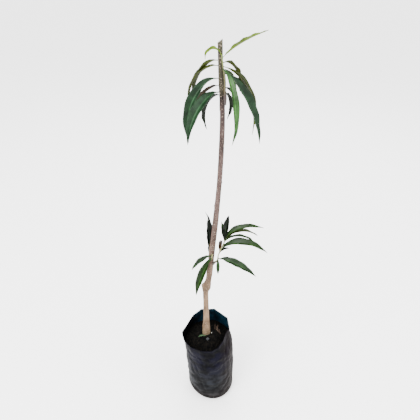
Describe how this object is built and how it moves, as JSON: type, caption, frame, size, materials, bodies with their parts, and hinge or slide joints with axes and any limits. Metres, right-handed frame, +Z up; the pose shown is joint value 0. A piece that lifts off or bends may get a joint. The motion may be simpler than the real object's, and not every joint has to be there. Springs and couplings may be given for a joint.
{
  "type": "young peach tree in a filled nursery grow bag",
  "caption": "Young grafted fruit tree, a single leaning whip with hanging lance-shaped leaves, standing in a soft film bag filled with potting soil.",
  "frame": {"origin": "middle of the bag's flat underside, where the part stands", "axes": "+Z up along the tree; +X to the side that the longer leaves of the low shoot point to; -Y towards the side where the bag's rim folds in"},
  "size_m": [0.225, 0.1613, 1.0797],
  "materials": {
    "film": "soft black polythene film with a dull sheen and crinkles",
    "soil": "dark moist potting soil, rough",
    "bark": "smooth young bark, reddish grey with small pale pores",
    "young_bark": "smooth olive and brown young shoot",
    "leaf": "glossy green leaf with a paler midrib"
  },
  "bodies": {
    "root": {"grow_bag": "film", "potting_soil": "soil", "trunk": "bark", "upper_shoot": "young_bark", "lower_shoot": "young_bark", "crown_spray": "leaf", "left_spray": "leaf", "right_spray": "leaf", "back_spray": "leaf", "lower_right_spray": "leaf", "lower_left_spray": "leaf", "lower_back_spray": "leaf"}
  },
  "joints": []
}
